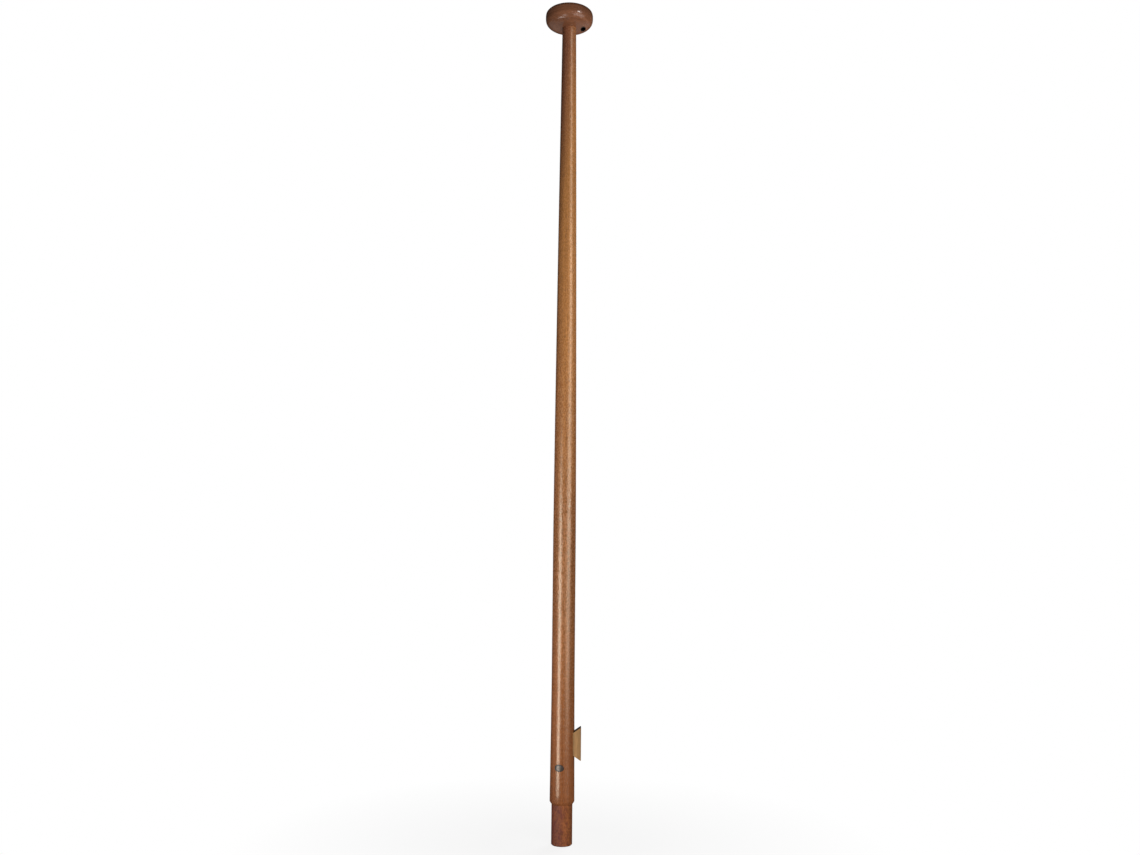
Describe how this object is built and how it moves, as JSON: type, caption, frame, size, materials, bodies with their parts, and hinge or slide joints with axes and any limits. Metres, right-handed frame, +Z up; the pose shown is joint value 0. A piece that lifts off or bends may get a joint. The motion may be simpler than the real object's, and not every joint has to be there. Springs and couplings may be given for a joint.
{
  "type": "boat flagpole",
  "caption": "Turned hardwood ensign staff for a boat, with a reduced heel for a deck socket, a long taper, a round truck with a halyard hole, and a small screwed cleat.",
  "frame": {"origin": "centre of the heel's flat end", "axes": "+Z up the staff towards the truck, -Y the front that the picture sees, +X the side with the cleat"},
  "size_m": [0.0584, 0.0584, 1],
  "materials": {
    "varnished_mahogany": "turned mahogany under gloss varnish",
    "bare_mahogany": "turned mahogany with a thin coat only, dull and reddish",
    "dark_mahogany": "turned cross-grained mahogany under gloss varnish",
    "light_hardwood": "sanded light hardwood, oiled",
    "brass": "turned brass",
    "foil_label": "plain silver foil with a dark border, no lettering"
  },
  "bodies": {
    "root": {"staff": "varnished_mahogany", "heel": "bare_mahogany", "truck": "dark_mahogany", "cleat": "light_hardwood", "cleat_screw_upper": "brass", "cleat_screw_lower": "brass", "blank_label": "foil_label"}
  },
  "joints": []
}
